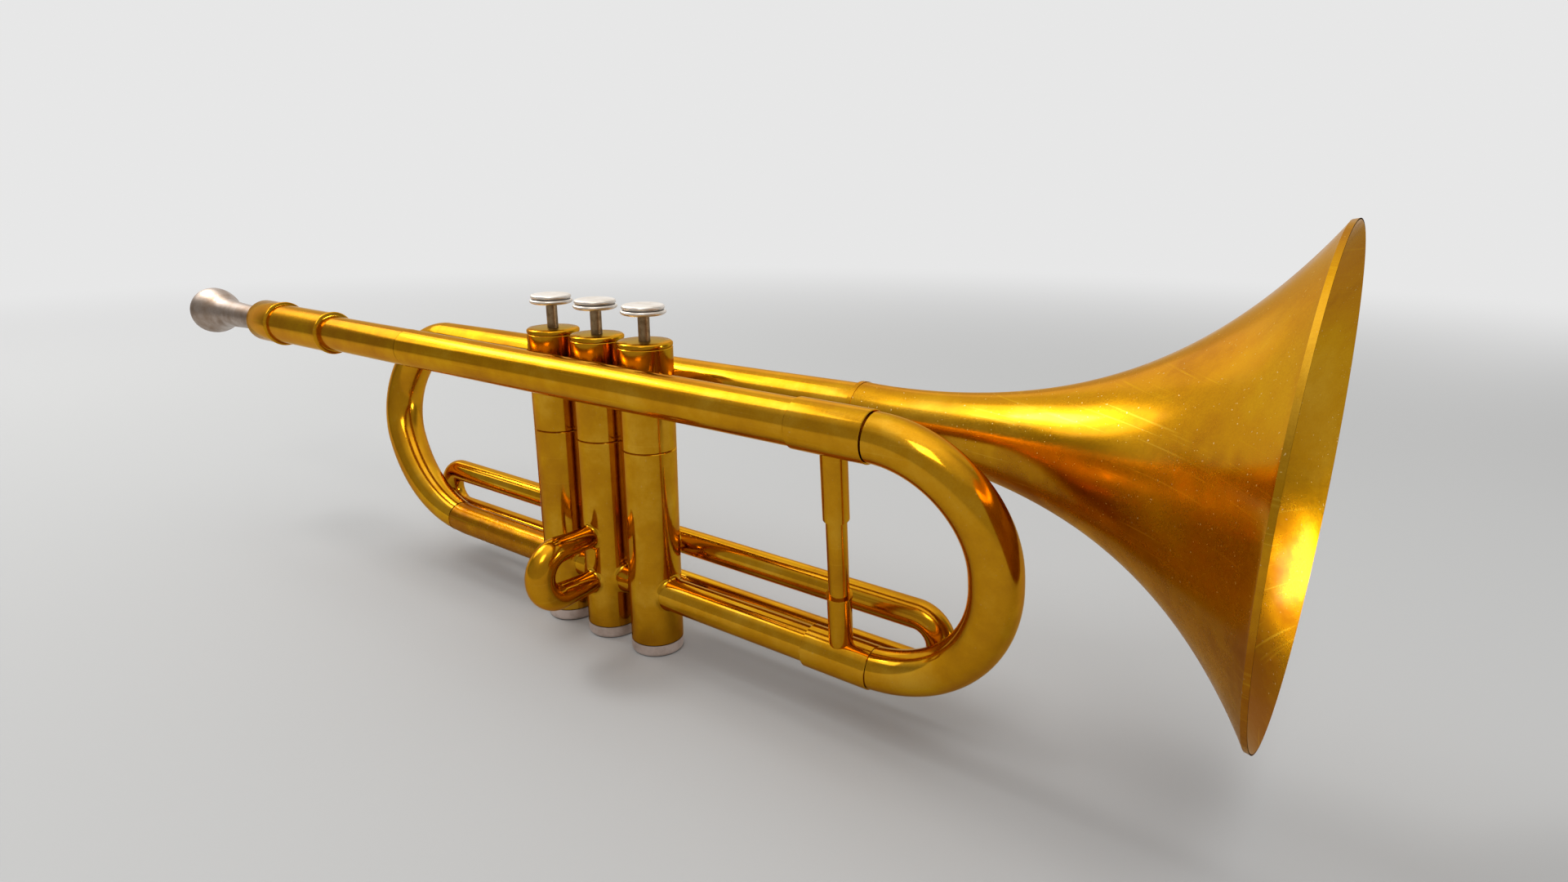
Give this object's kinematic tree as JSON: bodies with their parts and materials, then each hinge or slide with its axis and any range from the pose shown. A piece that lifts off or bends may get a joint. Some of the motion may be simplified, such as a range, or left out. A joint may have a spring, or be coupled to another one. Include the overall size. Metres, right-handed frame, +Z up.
{
  "type": "three-valve trumpet",
  "caption": "Brass trumpet with piston valves, tuning and valve slides, a large flared bell, one brace and a removable silver mouthpiece.",
  "frame": {"origin": "centre of the second valve's bottom cap, on its flat underside", "axes": "+X along the tubes towards the bell, +Y towards the bell's side, +Z up along the valves towards the finger buttons"},
  "size_m": [0.5169, 0.1315, 0.168],
  "materials": {
    "tube_brass": "worn lacquered, semi-gloss",
    "bell_brass": "worn lacquered, fine scratches",
    "casing_brass": "worn lacquered, brushed around",
    "polished_silver": "satin silver plate",
    "matt_silver": "matt silver plate",
    "piston_nickel": "ground nickel",
    "stem_steel": "brushed, tarnished",
    "felt": "felt"
  },
  "bodies": {
    "horn": {"mouthpiece_receiver": "tube_brass", "receiver_tube": "tube_brass", "leadpipe": "tube_brass", "upper_sleeve": "tube_brass", "lower_sleeve": "tube_brass", "front_branch": "tube_brass", "brace_upper_socket": "tube_brass", "brace_rod": "tube_brass", "brace_lower_socket": "tube_brass", "bell_branch": "bell_brass", "bell_bow": "bell_brass", "bell_tail": "bell_brass", "bell_ferrule": "bell_brass", "bell_flare": "bell_brass", "valve_casing_1": "casing_brass", "valve_casing_2": "casing_brass", "valve_casing_3": "casing_brass", "upper_casing_1": "casing_brass", "upper_casing_2": "casing_brass", "upper_casing_3": "casing_brass", "top_cap_1": "casing_brass", "top_cap_2": "casing_brass", "top_cap_3": "casing_brass", "bottom_cap_1": "matt_silver", "bottom_cap_2": "matt_silver", "bottom_cap_3": "matt_silver", "cap_felts": "felt", "valve_guide_1": "stem_steel", "valve_guide_2": "stem_steel", "valve_guide_3": "stem_steel", "valve_spring_1": "stem_steel", "valve_spring_2": "stem_steel", "valve_spring_3": "stem_steel", "knuckle_1_2": "tube_brass", "knuckle_2_3": "tube_brass", "first_slide_outer": "tube_brass", "second_slide_outer": "tube_brass", "third_slide_outer": "tube_brass"},
    "mouthpiece": {"mouthpiece": "polished_silver"},
    "valve_1": {"piston_1": "piston_nickel", "valve_stem_1": "stem_steel", "finger_button_1": "polished_silver"},
    "valve_2": {"piston_2": "piston_nickel", "valve_stem_2": "stem_steel", "finger_button_2": "polished_silver"},
    "valve_3": {"piston_3": "piston_nickel", "valve_stem_3": "stem_steel", "finger_button_3": "polished_silver"},
    "tuning_slide": {"tuning_bow": "tube_brass", "tuning_upper_leg": "tube_brass", "tuning_lower_leg": "tube_brass"},
    "first_slide": {"first_slide_bow": "tube_brass"},
    "second_slide": {"second_slide_bow": "tube_brass"},
    "third_slide": {"third_slide_bow": "tube_brass"}
  },
  "joints": [
    {"name": "valve_1_press", "type": "slide", "parent": "horn", "child": "valve_1", "axis": [0, 0, -1], "range_m": [0, 0.0084], "stiffness_N_per_m": 250, "springref_m": -0.006, "deforming": ["valve_spring_1"]},
    {"name": "valve_2_press", "type": "slide", "parent": "horn", "child": "valve_2", "axis": [0, 0, -1], "range_m": [0, 0.0084], "stiffness_N_per_m": 250, "springref_m": -0.006, "deforming": ["valve_spring_2"]},
    {"name": "valve_3_press", "type": "slide", "parent": "horn", "child": "valve_3", "axis": [0, 0, -1], "range_m": [0, 0.0084], "stiffness_N_per_m": 250, "springref_m": -0.006, "deforming": ["valve_spring_3"]},
    {"name": "tuning_slide_pull", "type": "slide", "parent": "horn", "child": "tuning_slide", "axis": [1, 0, 0], "range_m": [0, 0.016]},
    {"name": "first_slide_pull", "type": "slide", "parent": "horn", "child": "first_slide", "axis": [-1, 0, 0], "range_m": [0, 0.02]},
    {"name": "second_slide_pull", "type": "slide", "parent": "horn", "child": "second_slide", "axis": [0, -1, 0], "range_m": [0, 0.006]},
    {"name": "third_slide_pull", "type": "slide", "parent": "horn", "child": "third_slide", "axis": [1, 0, 0], "range_m": [0, 0.03]},
    {"name": "mouthpiece_pull", "type": "slide", "parent": "horn", "child": "mouthpiece", "axis": [-1, 0, 0], "range_m": [0, 0.024]}
  ]
}
